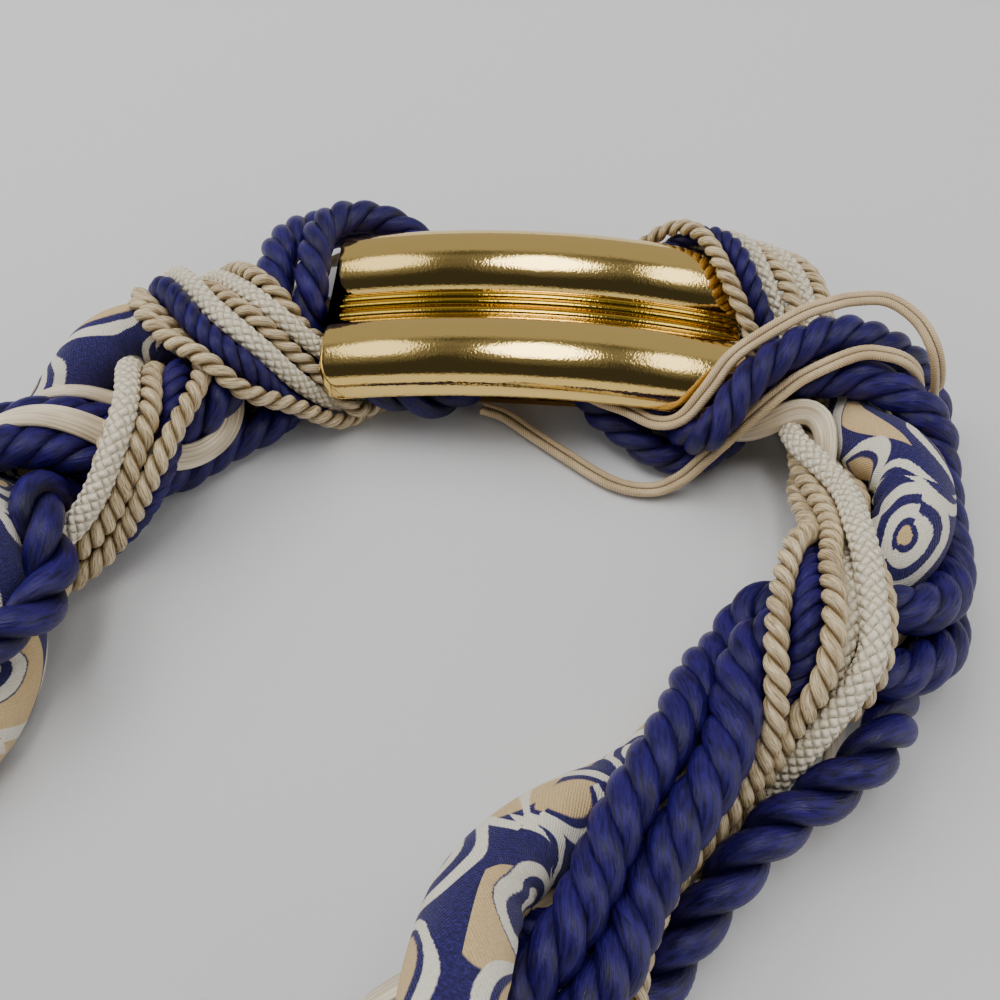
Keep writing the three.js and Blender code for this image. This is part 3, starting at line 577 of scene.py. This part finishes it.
def flat_band(path, wide, half_width, half_depth):
    """A flat band with round edges: across by the cosine, deep by the sine to the power 0.6. The stations
    run from the far end back, so that the faces look outwards."""
    length, tangents = along_path(path)
    side = square_to(wide, tangents)
    out = np.cross(side, tangents)
    turn = np.linspace(0, 2 * np.pi, 24, endpoint=False)[None, :, None]
    deep = np.sign(np.sin(turn)) * np.abs(np.sin(turn)) ** 0.6
    crease = 1 + 0.18 * np.cos(3 * turn + (length * 140)[:, None, None])
    grid = (path[:, None] + half_width * np.cos(turn) * side[:, None]
            + half_depth * crease * deep * out[:, None])
    return grid[::-1], length[::-1]


satin_material = satin_finish()
for name in ("satin_ribbon_a", "satin_ribbon_b"):
    path, _, wide = strand_route(name, step=0.0012, fullness=1.0, closeness=0.005)
    band = flat_band(path, wide, ribbon_half_width, ribbon_half_depth)
    ribbon = skin(name + "_band", [band], satin_material)
    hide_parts(name)


# Print tube: navy cotton sewn into a tube and stuffed, printed with cream and tan ornament. It
# creases on the inside of its bends. Below are the print's sizes in millimetres, with places of discs,
# leaves and bands from the middle of a repeat.
tube_girth = 48.0
repeat = 38.0
disc_place = -8.5
disc_rings = (8.2, 3.9)
leaf_place = 9.5
band_place = 18.2
stroke = 1.15


def print_finish():
    """A half-drop pattern, its sizes in millimetres: ringed discs, pointed leaves with tan hearts and
    waving bands, in cream on navy. A slow drift bends it, a fine one frays its edges."""
    finish = finish_of("print_cloth", Roughness=0.8, Sheen_Weight=0.12, Sheen_Roughness=0.5)
    along, around = finish.lay_map()
    across = around * tube_girth
    slow = finish.noise(finish.place(along * 0.06, across * 0.06), 1.0, 1.0, 0.5, "2D") - 0.5
    fray = finish.noise(finish.place(along * 2.2, across * 2.2), 1.0, 2.0, 0.6, "2D") - 0.5
    x = along + slow * 8 + fray * 0.5
    column = finish.floor(x / repeat)
    px = x - column * repeat - repeat / 2
    y = across + slow * 6 + fray * 0.5 + column * (tube_girth / 4)
    py = y - finish.floor(y / (tube_girth / 2)) * (tube_girth / 2) - tube_girth / 4
    dx = px - disc_place
    radius = finish.maths("POWER", dx * dx + py * py, 0.5)
    lines = [finish.size(radius - ring) for ring in disc_rings]
    wander = finish.wave(y * (4 * np.pi / tube_girth)) * 2.2
    lines.append(finish.size(finish.size(px) - band_place + wander) + 0.1)
    from_leaf = px - leaf_place
    leaf = finish.size(py) * 0.115 + from_leaf * from_leaf * 0.017
    lines.append(finish.size(leaf - 0.86) * 6.5)
    nearest = lines[0]
    for line in lines[1:]:
        nearest = finish.maths("MINIMUM", nearest, line)
    cream = finish.smooth(nearest, stroke + 0.15, stroke - 0.15)
    tan = finish.maths("MAXIMUM", finish.smooth(leaf, 0.5, 0.42), finish.smooth(radius, 1.7, 1.4))
    patch = finish.noise(finish.place(along * 0.035, across * 0.05), 1.0, 0.0, 0.5, "2D")
    tan = finish.maths("MAXIMUM", tan, finish.smooth(patch, 0.60, 0.61) * finish.smooth(radius, 9.5, 9.8))
    thread = finish.noise(finish.place(along * 3.4, across * 1.1), 1.0, 2.0, 0.6, "2D")
    navy = finish.mix(finish.smooth(thread, 0.35, 0.75), linear(20, 14, 66), linear(42, 32, 106))
    pale = finish.mix(thread, linear(205, 198, 180), linear(232, 228, 214))
    sand = finish.mix(thread, linear(186, 156, 108), linear(212, 185, 138))
    finish.feed("Base Color", finish.mix(cream, finish.mix(tan, navy, sand), pale))
    weave = finish.wave((along + across) * 9) * 0.5 + finish.wave((along - across) * 9) * 0.3
    finish.feed("Normal", finish.bump(weave + thread, 0.00009))
    return finish.material


def stuffed_tube(path, radius, corners):
    """A tube whose radius is drawn in by creases where it bends: on the inner side of a bend, a ripple of
    5 mm along the tube, deeper the tighter the bend; a slow swell of the stuffing is everywhere."""
    length, tangents = along_path(path)
    first, second = untwisted(path, tangents)
    bend = np.gradient(tangents, length, axis=0)
    turn = np.linspace(0, 2 * np.pi, corners, endpoint=False)[None, :]
    out = np.cos(turn)[..., None] * first[:, None] + np.sin(turn)[..., None] * second[:, None]
    inner = np.clip(np.sum(out * bend[:, None], -1) * 0.02, 0, 1)
    s = length[:, None] * 1000
    crease = inner * (0.6 + 0.4 * np.sin(2 * np.pi * s / 5.2 + 2 * np.sin(3 * turn) + np.sin(s / 7)))
    swell = np.sin(s / 11 + 2 * turn) * 0.018 + np.sin(s / 23 - turn) * 0.02
    pleat = 0.012 * np.sin(5 * turn + np.sin(s / 16) * 3)
    grid = path[:, None] + out * (radius[:, None] * (1 + swell + pleat - 0.16 * crease))[..., None]
    return grid, length


path, radius, _ = strand_route("print_tube", step=0.0011, fullness=1.16, closeness=0.005)
tube = skin("print_tube_cloth", [stuffed_tube(path, radius, corners=64)], print_finish())
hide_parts("print_tube")


# Buckle: one pressed and plated brass sheet, bowed along its length. Two half-round bars lie side by
# side with fine ribs in the channel between them, and its rim is rolled smooth.
bow_length = 0.091
bar_half = 0.0102
bar_height = 0.0085
bar_middle = 0.0128
channel_floor = 0.0034
rib_heights = 0.0010, 0.0013, 0.0009
sheet = 0.0012
bow_rise = 0.005
bow_end = 0.012
bow_corner = 0.0055
bow_stations = 160
arc_steps = 70
rim_steps = 5


def bow_halves(steps):
    """The section's outer and inner lines, from the near edge to the far one: an ellipse's arc, the ribbed
    channel and the other arc. Each rib is half a round bead."""
    shoulder = np.arcsin(channel_floor / bar_height)
    arc = np.linspace(np.pi, shoulder, steps)
    foot = bar_middle - bar_half * np.cos(shoulder)
    across = np.linspace(-1, 1, 2 * steps)[1:-1]
    place = (across + 1) / 2 * len(rib_heights)
    bead = np.sqrt(np.clip(1 - (2 * (place % 1) - 1) ** 2, 0, 1)) * np.array(rib_heights)[place.astype(int)]
    outer = np.vstack([
        np.column_stack([-bar_middle + bar_half * np.cos(arc), bar_height * np.sin(arc)]),
        np.column_stack([across * foot, channel_floor + bead]),
        np.column_stack([bar_middle - bar_half * np.cos(arc[::-1]), bar_height * np.sin(arc[::-1])])])
    deep = np.maximum((bar_height - sheet) * np.sin(arc), 0)
    inner = np.vstack([
        np.column_stack([-bar_middle + (bar_half - sheet) * np.cos(arc), deep]),
        np.column_stack([across * foot * 0.98, np.full(len(across), channel_floor - sheet)]),
        np.column_stack([bar_middle - (bar_half - sheet) * np.cos(arc[::-1]), deep[::-1]])])
    return outer, inner


def bow_grid():
    """The section carried along the bow. Each point runs to where the rounded plan ends, and over the last
    stations the sheet closes on its middle line along a quarter circle, which rounds the rim."""
    outer, inner = bow_halves(arc_steps)
    middle = (outer + inner) / 2
    roll = np.linspace(0, np.pi, 9)[1:-1]
    rims = []
    for end, hand in ((-1, 1), (0, -1)):
        centre = middle[end]
        rim = centre + sheet / 2 * np.column_stack([hand * np.cos(roll), -np.sin(roll)])
        rims.append((rim, np.tile(centre, (len(roll), 1))))
    section = np.vstack([outer, rims[0][0], inner[::-1], rims[1][0]])
    core = np.vstack([middle, rims[0][1], middle[::-1], rims[1][1]])
    beyond = np.clip(np.abs(section[:, 0]) - (bar_middle + bar_half - bow_corner), 0, bow_corner)
    reach = bow_length / 2 - bow_corner + np.sqrt(bow_corner ** 2 - beyond ** 2)
    close = np.linspace(0, np.pi / 2, rim_steps + 1)[1:]
    along = np.concatenate([-np.ones(rim_steps), np.linspace(-1, 1, bow_stations), np.ones(rim_steps)])
    extra = np.concatenate([-np.sin(close[::-1]), np.zeros(bow_stations), np.sin(close)])
    thick = np.concatenate([np.cos(close[::-1]), np.ones(bow_stations), np.cos(close)])
    x = along[:, None] * (reach - sheet / 2)[None, :] + extra[:, None] * sheet / 2
    yz = core[None] + (section - core)[None] * thick[:, None, None]
    z = yz[..., 1] + bow_end + bow_rise * (1 - (2 * x / bow_length) ** 2)
    return np.stack([x, yz[..., 0], z], -1) + buckle_middle


def gold_finish():
    """Polished gold plate: almost a mirror, finely pitted, with faint wiping marks in its roughness. The
    plate in the channel is given a darker, deeper yellow: painted shade in the recess between the bars."""
    finish = finish_of("gold_plate", Metallic=1.0)
    place = finish.add("ShaderNodeTexCoord", {}, output=3)
    x, y, z = finish.apart(place)
    from_middle = finish.size(y - float(buckle_middle[1]))
    channel = finish.smooth(from_middle, bar_middle - bar_half + 0.0012, bar_middle - bar_half - 0.0002)
    # Painted shade: the channel between the bars gets a darker base colour.
    finish.feed("Base Color", finish.mix(channel, (0.93, 0.66, 0.22, 1), (0.62, 0.39, 0.045, 1)))
    marks = finish.noise(finish.place(x * 60, y * 900, z * 900), 1.0, 3.0, 0.6)
    cloud = finish.noise(place, 90.0, 2.0, 0.5)
    pits = finish.noise(place, 1900.0, 1.0, 0.5)
    dull = finish.smooth(marks, 0.4, 0.8) * 0.04 + finish.smooth(cloud, 0.3, 0.7) * 0.03
    finish.feed("Roughness", dull + 0.03)
    finish.feed("Normal", finish.bump(pits, 0.000018, Normal=finish.bump(cloud, 0.00006)))
    return finish.material


gold = gold_finish()
bow = bow_grid()[::-1]
plate = skin("buckle_plate", [(bow, np.linspace(0, bow_length, len(bow)))], gold)
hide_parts("buckle")


# Clasp: a plain foot and web of brushed brass beneath the buckle, with the strands' ends beside the web.
# The frame's own solid is shown.
def brass_finish():
    """Brushed brass: fine lines along the foot."""
    finish = finish_of("clasp_brass", Metallic=1.0)
    x, y, z = finish.apart(finish.add("ShaderNodeTexCoord", {}, output=3))
    lines = finish.noise(finish.place(x * 80, y * 3000, z * 3000), 1.0, 3.0, 0.6)
    finish.feed("Base Color", finish.mix(lines, linear(150, 116, 58), linear(196, 158, 88)))
    finish.feed("Roughness", lines * 0.2 + 0.28)
    finish.feed("Normal", finish.bump(lines, 0.00005))
    return finish.material


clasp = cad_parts["clasp"]
clasp.data.materials.clear()
clasp.data.materials.append(brass_finish())


# Light: a pale room whose ceiling over the buckle is dark but for three bright patches, one large soft
# lamp and a pale grey floor.
ceiling_patches = [
    # east, half its width, climb in degrees, half its height, brightness
    [-0.42, 0.11, 82, 20, 1.6],
    [0.0, 0.14, 88, 18, 7.0],
    [0.35, 0.08, 84, 19, 3.0],
]
world = bpy.data.worlds.new("room")
scene.world = world
room = Finish(world, "Background")
towards = room.add("ShaderNodeTexCoord", {})
east, north, high = room.apart(towards)
climb = room.maths("ARCTAN2", high, north) * (180 / np.pi)
ragged = (room.noise(room.place(east * 3, north * 3, high * 3), 3.0, 3.0, 0.6) - 0.5) * 0.7
glow = 0.0
for patch_east, half_width, patch_climb, half_height, brightness in ceiling_patches:
    sideways = (east - patch_east) / half_width
    upwards = (climb - patch_climb) / half_height
    apart = room.maths("POWER", sideways * sideways + upwards * upwards, 0.5)
    halo = room.smooth(apart + ragged, 2.1, 0.9) * 0.22
    glow = room.smooth(apart + ragged, 1.15, 0.75) * brightness + halo + glow
within = room.smooth(room.size(east), 0.8, 0.62)
overhead = room.smooth(climb, 56, 66) * room.smooth(climb, 157, 147)
dark = room.smooth(climb, 96, 68) * 0.04 + 0.045
walls = room.mix(room.smooth(climb, 60, 150), (0.42, 0.41, 0.39, 1), (0.78, 0.76, 0.72, 1))
outside = room.mix(overhead, walls, (2.3, 2.28, 2.24, 1))
inside = room.mix(overhead, walls, room.place(glow + dark, glow + dark, glow + dark))
room.feed("Color", room.mix(within, outside, inside))

lamp_data = bpy.data.lights.new("lamp", "AREA")
lamp_data.shape = "DISK"
lamp_data.size = 1.1
lamp_data.energy = 9.0
lamp = bpy.data.objects.new("lamp", lamp_data)
lamp_place = Vector((-0.45, 0.55, 1.0))
lamp.matrix_world = Matrix.Translation(lamp_place) @ lamp_place.to_track_quat("Z", "Y").to_matrix().to_4x4()
lamp.visible_glossy = False
scene.collection.objects.link(lamp)

floor_half = 3.0
floor_finish = finish_of("floor", Roughness=0.55)
grain = floor_finish.noise(floor_finish.add("ShaderNodeTexCoord", {}, output=3), 900.0, 2.0, 0.5)
floor_finish.feed("Base Color", floor_finish.mix(grain, linear(209, 209, 210), linear(216, 216, 217)))
floor_mesh = bpy.data.meshes.new("floor")
floor_corners = [(-floor_half, -floor_half, 0), (floor_half, -floor_half, 0),
                 (floor_half, floor_half, 0), (-floor_half, floor_half, 0)]
floor_mesh.from_pydata(floor_corners, [], [(0, 1, 2, 3)])
floor_mesh.materials.append(floor_finish.material)
floor = bpy.data.objects.new("floor", floor_mesh)
scene.collection.objects.link(floor)
